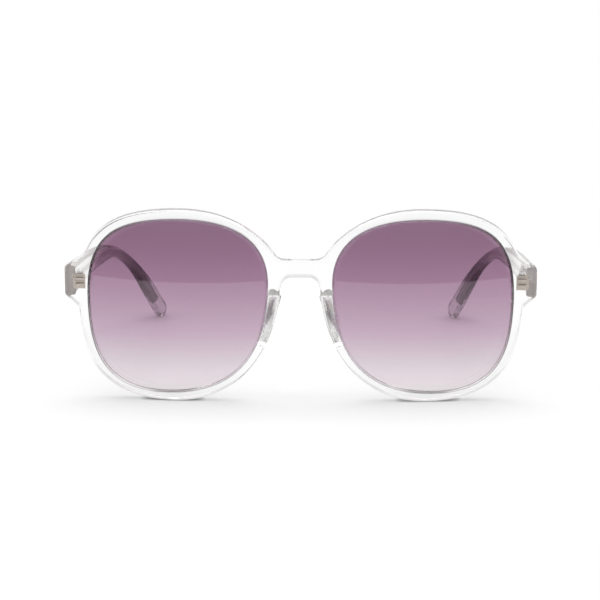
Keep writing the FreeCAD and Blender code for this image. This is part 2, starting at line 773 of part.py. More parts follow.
def build_temple_hinge():
    """Two knuckles on a long leaf that is sunk into the temple's inner face."""
    body, planes = body_with_frame("temple_hinge_body")
    radius = sheet.knuckle_radius
    leaf_inner = radius + sheet.leaf_clearance
    leaf_outer = leaf_inner + sheet.leaf_thickness
    inner_text = "Sizes.knuckle_radius + Sizes.leaf_clearance"
    outer_text = inner_text + " + Sizes.leaf_thickness"
    pair = "(3 * Sizes.knuckle_height + 2 * Sizes.knuckle_play)"
    knuckle_barrel(body, planes, "temple_barrel", pair)
    neck = sketch_on(body, planes["XY_Plane"], "temple_neck_outline")
    rectangle(
        neck, "neck",
        (0, "0"), (leaf_outer, outer_text),
        (-radius, "-Sizes.knuckle_radius"), (radius, "Sizes.knuckle_radius"),
    )
    pad(body, neck, "temple_neck", pair)
    slot = sketch_on(body, planes["XZ_Plane"], "temple_slot_outline")
    slot_half = sheet.knuckle_height / 2 + sheet.knuckle_play
    rectangle(
        slot, "slot",
        (-leaf_inner, "-(" + inner_text + ")"), (leaf_inner, inner_text),
        (-slot_half, "-" + SLOT_HALF), (slot_half, SLOT_HALF),
    )
    pocket(body, slot, "temple_slot", "2 * Sizes.plate_width")
    leaf = sketch_on(body, planes["XY_Plane"], "leaf_outline")
    rectangle(
        leaf, "leaf",
        (leaf_inner, inner_text), (leaf_outer, outer_text),
        (-radius / 2, "-Sizes.knuckle_radius / 2"), (sheet.leaf_length, "Sizes.leaf_length"),
    )
    pad(body, leaf, "leaf", STACK)
    screw_bore(body, planes, "temple_bore")
    return body


def build_screw():
    """Slotted screw, head on top of the knuckles, tail just out of the lowest one."""
    body, planes = body_with_frame("screw_body")
    outline = sketch_on(body, planes["XZ_Plane"], "screw_outline")
    tail = -stack_height / 2 - sheet.screw_tail
    seat = stack_height / 2 + sheet.knuckle_play
    top = seat + sheet.screw_head_height
    rectangle(
        outline, "shank",
        (0, "0"), (sheet.screw_radius, "Sizes.screw_radius"),
        (tail, f"-{STACK} / 2 - Sizes.screw_tail"), (seat, f"{STACK} / 2 + Sizes.knuckle_play"),
    )
    turn = body.newObject("PartDesign::Revolution", "shank")
    turn.Profile = outline
    turn.ReferenceAxis = (outline, ["V_Axis"])
    head = sketch_on(body, planes["XZ_Plane"], "head_outline")
    rectangle(
        head, "head",
        (0, "0"), (sheet.screw_head_radius, "Sizes.screw_head_radius"),
        (seat, f"{STACK} / 2 + Sizes.knuckle_play"),
        (top, f"{STACK} / 2 + Sizes.knuckle_play + Sizes.screw_head_height"),
    )
    head_turn = body.newObject("PartDesign::Revolution", "screw_head")
    head_turn.Profile = head
    head_turn.ReferenceAxis = (head, ["V_Axis"])
    slot = sketch_on(body, planes["XZ_Plane"], "screw_slot_outline")
    half_slot = sheet.screw_slot_width / 2
    rectangle(
        slot, "slot",
        (-half_slot, "-Sizes.screw_slot_width / 2"), (half_slot, "Sizes.screw_slot_width / 2"),
        (top - sheet.screw_slot_depth,
         f"{STACK} / 2 + Sizes.knuckle_play + Sizes.screw_head_height - Sizes.screw_slot_depth"),
        (top + sheet.cut_overrun,
         f"{STACK} / 2 + Sizes.knuckle_play + Sizes.screw_head_height + Sizes.cut_overrun"),
    )
    pocket(body, slot, "screw_slot", "2 * (Sizes.screw_head_radius + Sizes.cut_overrun)")
    return body


def finish(left_piece, name):
    """Name a left piece, move it back to the part's origin, and make its right-hand twin."""
    left_piece.Label = name + "_left"
    left_piece.Placement.Base = left_piece.Placement.Base + Vector(0, shift_y, 0)
    right_piece = mirrored(name + "_right", left_piece)
    right_piece.Label = name + "_right"
    return [left_piece, right_piece]


front = build_front()
front.Label = "front_frame"
front.Placement.Base = Vector(0, shift_y, 0)
nodes = [front]
nodes += finish(build_lens(), "lens")
nodes += finish(build_pad(), "nose_pad")
nodes += finish(build_temple(), "temple")
nodes += finish(core_strip("core", 0), "core_wire")
nodes += finish(build_front_hinge(), "front_hinge")
nodes += finish(build_temple_hinge(), "temple_hinge")
nodes += finish(build_screw(), "hinge_screw")
doc.recompute()

for item in doc.Objects:
    if "Invalid" in item.State or "Error" in item.State:
        raise ValueError(item.Label + " did not build")
for node in nodes:
    if node.Shape.isNull() or not node.Shape.isValid() or len(node.Shape.Solids) != 1:
        raise ValueError(node.Label + " is not one sound solid")

os.makedirs("parts", exist_ok=True)
for node in nodes:
    node.Shape.exportStep(os.path.join("parts", node.Label + ".step"))
    print(f"{node.Label}: {node.Shape.Volume:.1f} mm3, {len(node.Shape.Faces)} faces")
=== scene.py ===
# %% [markdown]
# # Oversized clear sunglasses
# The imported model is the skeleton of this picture: every solid of the sunglasses arrives in metres,
# already in place and already riding on its body. A scene could rebuild the shapes by eye, but then
# it would drift away from the real sizes. So the lesson keeps the solids and spends its effort on
# what they are made of and on the light, because a clear frame is drawn almost only by what it
# bends and mirrors.

# %% Load the frame
import math

import bpy
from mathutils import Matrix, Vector


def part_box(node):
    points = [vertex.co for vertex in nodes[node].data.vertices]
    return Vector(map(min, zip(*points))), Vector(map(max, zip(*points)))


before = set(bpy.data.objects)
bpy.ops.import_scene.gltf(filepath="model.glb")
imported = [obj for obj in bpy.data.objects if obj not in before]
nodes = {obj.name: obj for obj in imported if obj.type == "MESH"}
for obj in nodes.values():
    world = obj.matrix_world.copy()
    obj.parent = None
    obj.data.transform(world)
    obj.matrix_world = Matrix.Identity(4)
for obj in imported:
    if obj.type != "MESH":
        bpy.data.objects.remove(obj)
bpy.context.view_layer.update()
print("solids:", ", ".join(sorted(nodes)))

# %% [markdown]
# ## The camera
# The photograph was taken from a little above, with a long lens, nearly square on. A camera could
# be placed by trial, but its angle can be worked out: the rims' bottoms and the temple tips stand
# on the same table, and the height between them in the picture gives the tilt. The object stands
# turned by about a degree, so the camera swings sideways by the same amount instead of turning the
# object.

# %% Camera at the photograph's angle
CAMERA_DISTANCE = 0.700
CAMERA_TILT = math.radians(12.3)
CAMERA_SWING = math.radians(1.2)
CAMERA_LENS = 134.8
CAMERA_SENSOR = 36.0
CAMERA_NEAR = 0.01
CAMERA_FAR = 20.0
BRIDGE_AIM = Vector((0.0, -0.0615, 0.0329))

camera = bpy.data.objects.new("camera", bpy.data.cameras.new("camera"))
bpy.context.scene.collection.objects.link(camera)
towards_camera = Vector((
    math.sin(CAMERA_SWING) * math.cos(CAMERA_TILT),
    -math.cos(CAMERA_SWING) * math.cos(CAMERA_TILT),
    math.sin(CAMERA_TILT),
))
camera.location = BRIDGE_AIM + towards_camera * CAMERA_DISTANCE
camera.rotation_mode = "QUATERNION"
camera.rotation_quaternion = (-towards_camera).to_track_quat("-Z", "Y")
camera.data.lens = CAMERA_LENS
camera.data.sensor_width = CAMERA_SENSOR
camera.data.clip_start = CAMERA_NEAR
camera.data.clip_end = CAMERA_FAR
bpy.context.scene.camera = camera
bpy.context.scene.view_settings.view_transform = "Standard"
print("camera at", [round(value, 3) for value in camera.location])

# %% [markdown]
# ## A few helpers for node trees
# Every finish below is a small tree of shader nodes. Writing each node with four lines of code
# would bury the idea, so small helpers do the typing: they add a node with its values, mix two
# colours or two numbers, calculate, or start a fresh material with a Principled BSDF. They hide
# nothing else, and each tree can still be opened and read in the shader editor.

# %% Node helpers
def add_node(tree, kind, inputs=None, **settings):
    """New node of a kind, with its settings and its input values or links."""
    node = tree.nodes.new(kind)
    for name, value in settings.items():
        setattr(node, name, value)
    for key, value in (inputs or {}).items():
        if isinstance(value, bpy.types.NodeSocket):
            tree.links.new(value, node.inputs[key])
        else:
            node.inputs[key].default_value = value
    return node


def mix_colours(tree, factor, first, second):
    """Colour between two colours; a mix node takes them at its inputs 6 and 7."""
    inputs = {"Factor": factor, 6: first, 7: second}
    return add_node(tree, "ShaderNodeMix", inputs, data_type="RGBA").outputs[2]


def mix_numbers(tree, factor, first, second):
    """Number between two numbers; a mix node takes them at its inputs 2 and 3."""
    inputs = {"Factor": factor, 2: first, 3: second}
    return add_node(tree, "ShaderNodeMix", inputs, data_type="FLOAT").outputs[0]


def calculate(tree, operation, *terms):
    """Result of one arithmetic step."""
    return add_node(tree, "ShaderNodeMath", dict(enumerate(terms)), operation=operation).outputs[0]


def new_finish(name):
    """Material with only a Principled BSDF and its output."""
    material = bpy.data.materials.new(name)
    material.use_nodes = True
    tree = material.node_tree
    tree.nodes.clear()
    surface = add_node(tree, "ShaderNodeBsdfPrincipled")
    add_node(tree, "ShaderNodeOutputMaterial", {"Surface": surface.outputs["BSDF"]})
    return material, tree, surface


print("helpers ready")

# %% [markdown]
# ## Polish marks, shared by everything that is polished
# Clear plastic is tumbled with wooden pegs and then buffed. That leaves very fine hairlines and a
# faint waviness, which you only notice where light glances off. They could be scratches drawn on an
# image, but an image has a size and a seam. Two noise textures do it without either: one stretched
# into hairlines, one soft and broad. The group puts out a mask and a height, and each finish
# decides how strongly to use them.

# %% Node group: polish marks
HAIRLINE_TURN = (0.35, 0.2, 0.6)
HAIRLINE_STRETCH = (1.0, 9.0, 1.0)
HAIRLINE_FROM = 0.56
HAIRLINE_FULL = 0.74


def build_polish_marks():
    """Group that puts out a mask of hairlines and a soft, broad waviness."""
    group = bpy.data.node_groups.new("polish marks", "ShaderNodeTree")
    group.interface.new_socket("Hairline Scale", in_out="INPUT", socket_type="NodeSocketFloat")
    group.interface.new_socket("Wave Scale", in_out="INPUT", socket_type="NodeSocketFloat")
    group.interface.new_socket("Hairlines", in_out="OUTPUT", socket_type="NodeSocketFloat")
    group.interface.new_socket("Waves", in_out="OUTPUT", socket_type="NodeSocketFloat")
    given = add_node(group, "NodeGroupInput")
    place = add_node(group, "ShaderNodeTexCoord")
    stretched = add_node(group, "ShaderNodeMapping", {
        "Vector": place.outputs["Object"], "Rotation": HAIRLINE_TURN, "Scale": HAIRLINE_STRETCH,
    })
    hair = add_node(group, "ShaderNodeTexNoise", {
        "Vector": stretched.outputs["Vector"], "Scale": given.outputs["Hairline Scale"],
        "Detail": 3.0, "Roughness": 0.6,
    })
    hairlines = add_node(group, "ShaderNodeMapRange", {
        "Value": hair.outputs["Fac"], "From Min": HAIRLINE_FROM, "From Max": HAIRLINE_FULL,
    })
    wave = add_node(group, "ShaderNodeTexNoise", {
        "Vector": place.outputs["Object"], "Scale": given.outputs["Wave Scale"], "Detail": 1.0,
    })
    add_node(group, "NodeGroupOutput", {
        "Hairlines": hairlines.outputs["Result"], "Waves": wave.outputs["Fac"],
    })
    return group


polish_marks = build_polish_marks()
print("group:", polish_marks.name)

# %% [markdown]
# ## Worn edges, shared by the plated metal
# A hinge is stamped, plated and then handled, so the plating is a little thinner and brighter along
# its edges and carries a fine grain from drawing. The edge could be painted by hand. Here the
# geometry's own pointiness finds it, which keeps working if the hinge changes, and a stretched
# noise gives the drawn grain.

# %% Node group: worn edges and drawn grain
GRAIN_STRETCH = (6.0, 0.6, 6.0)
WORN_POINTINESS_FROM = 0.5
WORN_POINTINESS_FULL = 0.6


def build_worn_metal():
    """Group that puts out a drawn grain and a mask of worn edges."""
    group = bpy.data.node_groups.new("worn metal", "ShaderNodeTree")
    group.interface.new_socket("Grain Scale", in_out="INPUT", socket_type="NodeSocketFloat")
    group.interface.new_socket("Grain", in_out="OUTPUT", socket_type="NodeSocketFloat")
    group.interface.new_socket("Edge", in_out="OUTPUT", socket_type="NodeSocketFloat")
    given = add_node(group, "NodeGroupInput")
    place = add_node(group, "ShaderNodeTexCoord")
    drawn = add_node(group, "ShaderNodeMapping", {
        "Vector": place.outputs["Object"], "Scale": GRAIN_STRETCH,
    })
    grain = add_node(group, "ShaderNodeTexNoise", {
        "Vector": drawn.outputs["Vector"], "Scale": given.outputs["Grain Scale"], "Detail": 2.0,
    })
    shape = add_node(group, "ShaderNodeNewGeometry")
    edge = add_node(group, "ShaderNodeMapRange", {
        "Value": shape.outputs["Pointiness"],
        "From Min": WORN_POINTINESS_FROM, "From Max": WORN_POINTINESS_FULL,
    })
    add_node(group, "NodeGroupOutput", {
        "Grain": grain.outputs["Fac"], "Edge": edge.outputs["Result"],
    })
    return group


worn_metal = build_worn_metal()
print("group:", worn_metal.name)

# %% [markdown]
# ## Long ways for the light
# Light that enters a clear temple can run along its whole length and be mirrored dozens of times
# before it leaves. With the renderer's usual limit such ways end in black. A lighter colour could
# hide that, but then the plastic would look milky. So the limit is raised instead, for mirrors and
# for clear material.

# %% More bounces
CLEAR_BOUNCES = 32
MIRROR_BOUNCES = 24

bounce_limits = bpy.context.scene.cycles
bounce_limits.max_bounces = CLEAR_BOUNCES
bounce_limits.transmission_bounces = CLEAR_BOUNCES
bounce_limits.glossy_bounces = MIRROR_BOUNCES
print("bounces:", CLEAR_BOUNCES, "clear,", MIRROR_BOUNCES, "mirrored")

# %% [markdown]
# ## Sawn faces
# Two kinds of face are sawn and left matt: the temples' butt ends and the pads' flat tops. The pads'
# tops also get a dark grey, which is painted shade. They could be cut off the mesh as pieces of their
# own, but that would change the solids. The finish can tell them by the side they face. The normal is
# first turned into the piece's own directions, so that a folded temple keeps its matt end.

# %% Mask: sawn faces
NOT_SAWN = (0, 0, 0)
BUTT_END = (0, -1, 0)
PAD_TOP = (0, 0, 1)
SAWN_FACING_FROM = 0.86
SAWN_FACING_TO = 0.94


def sawn_face_mask(tree, sawn_side):
    """1 on faces that look to the sawn side, 0 elsewhere."""
    geometry = add_node(tree, "ShaderNodeNewGeometry")
    own_normal = add_node(tree, "ShaderNodeVectorTransform", {
        "Vector": geometry.outputs["Normal"],
    }, vector_type="NORMAL", convert_from="WORLD", convert_to="OBJECT")
    facing = add_node(tree, "ShaderNodeVectorMath", {
        0: own_normal.outputs["Vector"], 1: sawn_side,
    }, operation="DOT_PRODUCT")
    sawn = add_node(tree, "ShaderNodeMapRange", {
        "Value": facing.outputs["Value"], "From Min": SAWN_FACING_FROM, "From Max": SAWN_FACING_TO,
    })
    return sawn.outputs["Result"]


print("sawn sides:", BUTT_END, "on the temples and", PAD_TOP, "on the pads")

# %% [markdown]
# ## Clear sheet plastic
# The front, the temples and the nose pads are cut from clear cellulose sheet. It bends light by
# about 1.49 and takes a high polish. Across a few millimetres it looks white, but where one looks
# along the sheet it turns grey. A grey surface colour could not do both. So the surface stays
# almost white and an absorbing volume inside takes its share by the length of the way.

# %% Finish: clear sheet plastic
SHEET_ABSORBS = (0.2, 0.1, 0.0, 1.0)
SHEET_IOR = 1.49
SHEET_HAIRLINES = 900.0
HAIRLINE_ROUGHNESS = 0.05
RIPPLE_STRENGTH = 0.04
RIPPLE_HEIGHT = 0.0002
SAWN_ROUGHNESS = 0.5


def clear_sheet_finish(name, clean, cloudy, wave_scale, density, sawn_side, sawn_tint_and_shade, least_rough):
    """Clear plastic between two tints, with polish marks and matt sawn faces in their own colour,
    which on the pads is a painted shade.
    """
    material, tree, surface = new_finish(name)
    marks = add_node(tree, "ShaderNodeGroup", node_tree=polish_marks)
    marks.inputs["Hairline Scale"].default_value = SHEET_HAIRLINES
    marks.inputs["Wave Scale"].default_value = wave_scale
    tint = mix_colours(tree, marks.outputs["Waves"], clean, cloudy)
    gloss = add_node(tree, "ShaderNodeMapRange", {
        "Value": marks.outputs["Hairlines"],
        "To Min": least_rough, "To Max": least_rough + HAIRLINE_ROUGHNESS,
    })
    ripple = add_node(tree, "ShaderNodeBump", {
        "Strength": RIPPLE_STRENGTH, "Distance": RIPPLE_HEIGHT, "Height": marks.outputs["Waves"],
    })
    sawn = sawn_face_mask(tree, sawn_side)
    matt = calculate(tree, "MULTIPLY", sawn, SAWN_ROUGHNESS)
    rough = calculate(tree, "MAXIMUM", gloss.outputs["Result"], matt)
    colour = mix_colours(tree, sawn, tint, sawn_tint_and_shade)
    tree.links.new(colour, surface.inputs["Base Color"])
    tree.links.new(rough, surface.inputs["Roughness"])
    tree.links.new(ripple.outputs["Normal"], surface.inputs["Normal"])
    surface.inputs["Transmission Weight"].default_value = 1.0
    surface.inputs["IOR"].default_value = SHEET_IOR
    inside = add_node(tree, "ShaderNodeVolumeAbsorption", {
        "Color": SHEET_ABSORBS, "Density": density,
    })
    tree.links.new(inside.outputs["Volume"], tree.nodes["Material Output"].inputs["Volume"])
    return material


print("clear sheet bends light by", SHEET_IOR)

# %% [markdown]
# ## Front, temples and pads
# The three clear pieces share that finish but not its values. The front is nearly neutral, the
# temples are a little warmer, and the small pads are only tumbled, not buffed, so they blur what
# shines through them. Three separate finishes would do the same with three times the nodes to look
# after.

# %% Three clear finishes
FRONT_DENSITY = 5.0
TEMPLE_DENSITY = 1.0
POLISHED = 0.0
TUMBLED = 0.14

clear_front = clear_sheet_finish(
    "clear front sheet", (0.975, 0.977, 0.979, 1), (0.93, 0.934, 0.938, 1), 60.0, FRONT_DENSITY,
    NOT_SAWN, (0.97, 0.97, 0.97, 1), POLISHED,
)
clear_temple = clear_sheet_finish(
    "clear temple sheet", (0.96, 0.95, 0.95, 1), (0.92, 0.91, 0.91, 1), 45.0, TEMPLE_DENSITY,
    BUTT_END, (1.0, 0.97, 0.94, 1), POLISHED,
)
clear_pad = clear_sheet_finish(
    "clear pad", (0.99, 0.99, 0.985, 1), (0.95, 0.95, 0.94, 1), 140.0, FRONT_DENSITY,
    # The dark grey on the pads' flat tops is painted shade.
    PAD_TOP, (0.34, 0.33, 0.31, 1), TUMBLED,
)
print("finishes:", clear_front.name, clear_temple.name, clear_pad.name)

# %% [markdown]
# ## Tints that change along a piece
# Three things here change colour along a piece: the temples, the lenses and the wire. Each could
# carry its own nodes, but the same steps come back: measure where a point lies, look up a course of
# colours with smooth steps, and lay a colour over what is already there. So each step is a small
# helper.

# %% Helpers for tints along a piece
def share_along(tree, start, end):
    """0 to 1 from front to back, between two places on the piece's own Y axis."""
    place = add_node(tree, "ShaderNodeTexCoord")
    along = add_node(tree, "ShaderNodeSeparateXYZ", {"Vector": place.outputs["Object"]})
    share = add_node(tree, "ShaderNodeMapRange", {
        "Value": along.outputs["Y"], "From Min": start, "From Max": end,
    })
    return share.outputs["Result"]


def tint_ramp(tree, share, stops):
    """Colour ramp with smooth steps through the given stops."""
    dye = add_node(tree, "ShaderNodeValToRGB", {"Fac": share})
    ramp = dye.color_ramp
    ramp.interpolation = "B_SPLINE"
    while len(ramp.elements) < len(stops):
        ramp.elements.new(0.5)
    for stop, (position, colour) in zip(ramp.elements, stops):
        stop.position = position
        stop.color = (*colour, 1.0)
    return dye.outputs["Color"]


def tint_over(material, factor, tint):
    """Lay a tint over the base colour of a finish, as strongly as the factor says."""
    tree = material.node_tree
    surface = tree.nodes["Principled BSDF"]
    below = surface.inputs["Base Color"].links[0].from_socket
    tree.links.new(mix_colours(tree, factor, below, tint), surface.inputs["Base Color"])


print("tint helpers ready")

# %% [markdown]
# ## Painted shade along the temples
# Seen from the front, one looks along the temples' straight part and through much more plastic than
# in the hook, so that stretch looks darker. Denser plastic would darken the butt ends as well. So
# that darkness is painted shade: the tint itself gets deeper along the straight part and lighter
# again behind the bend.

# %% Painted shade along the temples
SHADE_ALONG_FROM = -0.022
SHADE_ALONG_TO = 0.040
PAINTED_SHADE_TINT = (0.42, 0.36, 0.385, 1)
PAINTED_SHADE_COURSE = (
    (0.00, (0.0, 0.0, 0.0)),
    (0.28, (1.0, 1.0, 1.0)),
    (0.62, (1.0, 1.0, 1.0)),
    (1.00, (0.3, 0.3, 0.3)),
)

shade_along_share = share_along(clear_temple.node_tree, SHADE_ALONG_FROM, SHADE_ALONG_TO)
painted_shade_depth = tint_ramp(clear_temple.node_tree, shade_along_share, PAINTED_SHADE_COURSE)
# Painted shade laid over the temple's colour, deepest along the straight part.
tint_over(clear_temple, painted_shade_depth, PAINTED_SHADE_TINT)
print("smoke from", SHADE_ALONG_FROM, "to", SHADE_ALONG_TO, "m")

# %% [markdown]
# ## Painted shade along a lens's edge
# Along its outer side the lens shows a thin dark line: there it is turned away, and one looks
# through far more dye at the ground edge. Here that darkness is painted shade: a dark colour laid
# into the lens's colour along the band, not a longer way through the dye. The line could be a
# separate ring, but it is only a band of the lens, so the finish finds it itself. Seen from inside
# the glass, the edge wall is near only within that band, and ambient occlusion turned inwards
# measures just that. Towards the bridge, where the lens faces the viewer, the painted shade fades by
# position.

# %% Mask: the edge band
EDGE_BAND = 0.00125
EDGE_RAYS = 32
EDGE_OPEN = 0.97
EDGE_CLOSED = 0.93
LINE_FADES_FROM = 0.042
LINE_FULL_FROM = 0.058
NOSE_SIDE_LINE = 0.15


def painted_edge_shade_mask(tree, own_x):
    """1 in the band along the lens's outer edge where shade is painted, fading towards the nose."""
    wall = add_node(tree, "ShaderNodeAmbientOcclusion", {
        "Distance": EDGE_BAND,
    }, inside=True, only_local=True, samples=EDGE_RAYS)
    edge = add_node(tree, "ShaderNodeMapRange", {
        "Value": wall.outputs["AO"], "From Min": EDGE_OPEN, "From Max": EDGE_CLOSED,
    })
    turned = add_node(tree, "ShaderNodeMapRange", {
        "Value": calculate(tree, "ABSOLUTE", own_x), "To Min": NOSE_SIDE_LINE,
        "From Min": LINE_FADES_FROM, "From Max": LINE_FULL_FROM,
    })
    return calculate(tree, "MULTIPLY", edge.outputs["Result"], turned.outputs["Result"])


print("edge band:", EDGE_BAND * 1000, "mm")

# %% [markdown]
# ## Plum gradient lenses
# A gradient lens is dipped: the longer the top stays in the dye, the darker it gets, so the tint
# falls smoothly from plum to almost clear with no edge anywhere. A light on one side could imitate
# that from one angle only. The dye belongs to the lens, so a colour ramp runs up the lens's own
# height, and the bright lower half that the photograph shows is left to the mirror image of the
# table.

# %% Finish: plum gradient lens
LENS_IOR = 1.586
LENS_HAIRLINES = 700.0
LENS_WAVES = 30.0
LENS_ROUGHEST = 0.02
LENS_TINT = (
    (0.00, (0.810, 0.780, 0.785)),
    (0.08, (0.785, 0.710, 0.748)),
    (0.19, (0.668, 0.590, 0.645)),
    (0.33, (0.525, 0.385, 0.482)),
    (0.47, (0.440, 0.298, 0.402)),
    (0.62, (0.361, 0.217, 0.321)),
    (0.79, (0.308, 0.172, 0.264)),
    (1.00, (0.248, 0.136, 0.216)),
)
# Painted shade: dark colours for the band along the lens's outer edge.
PAINTED_EDGE_SHADE = (
    (0.00, (0.450, 0.360, 0.390)),
    (0.15, (0.130, 0.080, 0.100)),
    (0.38, (0.020, 0.008, 0.012)),
    (0.55, (0.002, 0.0005, 0.001)),
    (0.78, (0.004, 0.001, 0.002)),
    (1.00, (0.030, 0.012, 0.020)),
)


def gradient_lens_finish():
    """Clear lens whose dye thins out downwards, with a painted shade line along its edge."""
    low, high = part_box("lens_left")
    material, tree, surface = new_finish("plum gradient lens")
    place = add_node(tree, "ShaderNodeTexCoord")
    own = add_node(tree, "ShaderNodeSeparateXYZ", {"Vector": place.outputs["Object"]})
    height = add_node(tree, "ShaderNodeMapRange", {
        "Value": own.outputs["Z"], "From Min": low[2], "From Max": high[2],
    })
    dye = tint_ramp(tree, height.outputs["Result"], LENS_TINT)
    painted_edge_colour = tint_ramp(tree, height.outputs["Result"], PAINTED_EDGE_SHADE)
    # The dark edge band is painted shade mixed into the lens colour.
    colour = mix_colours(tree, painted_edge_shade_mask(tree, own.outputs["X"]), dye, painted_edge_colour)
    marks = add_node(tree, "ShaderNodeGroup", node_tree=polish_marks)
    marks.inputs["Hairline Scale"].default_value = LENS_HAIRLINES
    marks.inputs["Wave Scale"].default_value = LENS_WAVES
    gloss = add_node(tree, "ShaderNodeMapRange", {
        "Value": marks.outputs["Hairlines"], "To Min": POLISHED, "To Max": LENS_ROUGHEST,
    })
    tree.links.new(colour, surface.inputs["Base Color"])
    tree.links.new(gloss.outputs["Result"], surface.inputs["Roughness"])
    surface.inputs["Transmission Weight"].default_value = 1.0
    surface.inputs["IOR"].default_value = LENS_IOR
    return material


plum_lens = gradient_lens_finish()
print("lens tint stops:", len(LENS_TINT), "and", len(PAINTED_EDGE_SHADE), "along the edge")

# %% [markdown]
# ## Plated hinges, bright screws and drawn core wire
# The hinges show through the clear lugs as small champagne blocks, the screws are plain bright
# steel, and the wire in the temples is drawn steel with long grain. One metal for all would be
# simpler, but the warm plating beside the cool steel is what the eye reads as a hinge. All three
# use the worn-metal group with their own values.

# %% Finish: metals
SMOOTHER = 0.7
ROUGHER = 1.3
GRAIN_STRENGTH = 0.15
GRAIN_HEIGHT = 0.00005


def metal_finish(name, plain, worn, rough, grain_scale):
    """Metal with drawn grain and paler, worn edges."""
    material, tree, surface = new_finish(name)
    wear = add_node(tree, "ShaderNodeGroup", node_tree=worn_metal)
    wear.inputs["Grain Scale"].default_value = grain_scale
    colour = mix_colours(tree, wear.outputs["Edge"], plain, worn)
    gloss = add_node(tree, "ShaderNodeMapRange", {
        "Value": wear.outputs["Grain"], "To Min": rough * SMOOTHER, "To Max": rough * ROUGHER,
    })
    grain = add_node(tree, "ShaderNodeBump", {
        "Strength": GRAIN_STRENGTH, "Distance": GRAIN_HEIGHT, "Height": wear.outputs["Grain"],
    })
    tree.links.new(colour, surface.inputs["Base Color"])
    tree.links.new(gloss.outputs["Result"], surface.inputs["Roughness"])
    tree.links.new(grain.outputs["Normal"], surface.inputs["Normal"])
    surface.inputs["Metallic"].default_value = 1.0
    return material


champagne = metal_finish(
    "champagne plating", (0.46, 0.375, 0.315, 1), (0.64, 0.56, 0.49, 1), 0.32, 900.0,
)
bright_steel = metal_finish(
    "bright screw steel", (0.56, 0.55, 0.54, 1), (0.72, 0.72, 0.72, 1), 0.22, 1400.0,
)
drawn_steel = metal_finish(
    "drawn core wire", (0.96, 0.93, 0.90, 1), (0.97, 0.95, 0.93, 1), 0.38, 500.0,
)
print("metals:", champagne.name, bright_steel.name, drawn_steel.name)

# %% [markdown]
# ## Darker wire behind the bend
# The wire is bright along the straight part and darker behind it, towards the hook. A second wire
# material would need a cut in the wire. The tint helpers lay the darker steel over it instead.

# %% Darker bend of the wire
WIRE_DARKER_FROM = 0.022
WIRE_DARKER_TO = 0.040
DARKER_WIRE_STEEL = (0.32, 0.29, 0.30, 1)

tint_over(drawn_steel, share_along(drawn_steel.node_tree, WIRE_DARKER_FROM, WIRE_DARKER_TO), DARKER_WIRE_STEEL)
print("wire darkens from", WIRE_DARKER_FROM, "to", WIRE_DARKER_TO, "m")

# %% [markdown]
# ## Giving each solid its finish
# The solids arrive with one plain material slot each. They could be copied and replaced, but their
# shapes are right, so they stay and only the slot changes. The slot is set on the object, which
# leaves the mesh untouched.

# %% Dress the solids
FINISHES = {
    "front_frame": clear_front, "lens": plum_lens, "nose_pad": clear_pad, "temple": clear_temple,
    "core_wire": drawn_steel, "hinge_screw": bright_steel,
    "front_hinge": champagne, "temple_hinge": champagne,
}


def finish_of(node_name):
    """Finish of a node, whichever side it is on."""
    return FINISHES[node_name.removesuffix("_left").removesuffix("_right")]


for node_name, solid in nodes.items():
    slot = solid.material_slots[0]
    slot.link = "OBJECT"
    slot.material = finish_of(node_name)
print("dressed", len(nodes), "solids")

# %% [markdown]
# ## Metal and glue that touch the clear plastic
# The solids leave a hair of room round everything that is sunk in plastic, as a maker's drawing
# does. In the real thing warm plastic flows round the hinge and the wire, and cement fills the
# pad's seam, so no air is left and no silver skin shows. Changing the solids would spoil their
# sizes, and it is not needed: a small modifier made of nodes lets a piece swell. The knuckles of a
# hinge must not swell, or they would jam, so every point within a given radius of an upright axis
# stays where it is.

# %% Modifier: swell into bed
SEAM_WIDTH = 0.000001


def build_swell():
    """Modifier group that moves points outwards, except near an upright axis."""
    group = bpy.data.node_groups.new("swell into bed", "GeometryNodeTree")
    group.interface.new_socket("Geometry", in_out="INPUT", socket_type="NodeSocketGeometry")
    axis = group.interface.new_socket("Axis", in_out="INPUT", socket_type="NodeSocketVector")
    radius = group.interface.new_socket(
        "Free Radius", in_out="INPUT", socket_type="NodeSocketFloat",
    )
    room = group.interface.new_socket("Bed Room", in_out="INPUT", socket_type="NodeSocketFloat")
    group.interface.new_socket("Geometry", in_out="OUTPUT", socket_type="NodeSocketGeometry")
    given = add_node(group, "NodeGroupInput")
    joined = add_node(group, "GeometryNodeMergeByDistance", {
        "Geometry": given.outputs["Geometry"], "Distance": SEAM_WIDTH,
    })
    place = add_node(group, "GeometryNodeInputPosition")
    from_axis = add_node(group, "ShaderNodeVectorMath", {
        0: place.outputs["Position"], 1: given.outputs["Axis"],
    }, operation="SUBTRACT")
    level = add_node(group, "ShaderNodeVectorMath", {
        0: from_axis.outputs["Vector"], 1: (1, 1, 0),
    }, operation="MULTIPLY")
    reach = add_node(group, "ShaderNodeVectorMath", {
        0: level.outputs["Vector"],
    }, operation="LENGTH")
    sunk = calculate(group, "GREATER_THAN", reach.outputs["Value"], given.outputs["Free Radius"])
    outwards = add_node(group, "GeometryNodeInputNormal")
    step = add_node(group, "ShaderNodeVectorMath", {
        0: outwards.outputs["True Normal"], "Scale": given.outputs["Bed Room"],
    }, operation="SCALE")
    swollen = add_node(group, "GeometryNodeSetPosition", {
        "Geometry": joined.outputs["Geometry"], "Selection": sunk, "Offset": step.outputs["Vector"],
    })
    add_node(group, "NodeGroupOutput", {"Geometry": swollen.outputs["Geometry"]})
    return group, axis.identifier, radius.identifier, room.identifier


swell_group, axis_input, radius_input, room_input = build_swell()
print("modifier:", swell_group.name)

# %% [markdown]
# ## Seating the pieces
# Each sunk piece swells by about a tenth of a millimetre. The long wire gets a little more, because
# its curve is made of flats and would leave slivers of air between them. For a hinge the axis is
# its screw's, which is measured from the screw instead of being typed in again.

